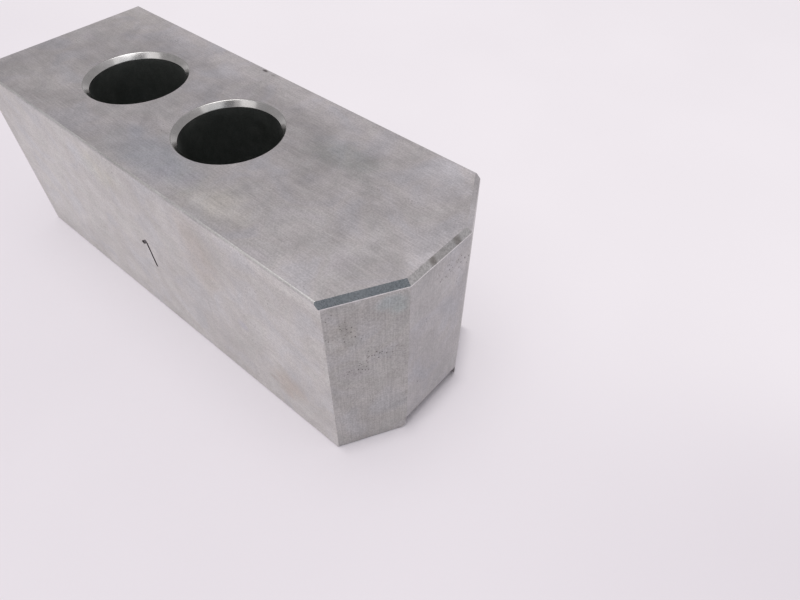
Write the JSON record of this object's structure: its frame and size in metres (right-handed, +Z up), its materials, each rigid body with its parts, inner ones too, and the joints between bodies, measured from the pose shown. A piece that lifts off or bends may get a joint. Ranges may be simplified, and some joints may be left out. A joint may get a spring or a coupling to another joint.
{
  "type": "machinable soft jaw",
  "caption": "Block of ground steel with a blunt three-sided nose, counterbored screw holes down through it and a keyway along its base.",
  "frame": {"origin": "centre of the footprint, on the base face that beds on the chuck's master jaw", "axes": "+X along the jaw towards its nose, +Y across it, +Z up from the base to the screw-head side"},
  "size_m": [0.11, 0.04, 0.042],
  "materials": {
    "ground_steel": "surface-ground low carbon steel, dull, with oil stains and light handling marks"
  },
  "bodies": {
    "root": {"soft_jaw": "ground_steel"}
  },
  "joints": []
}
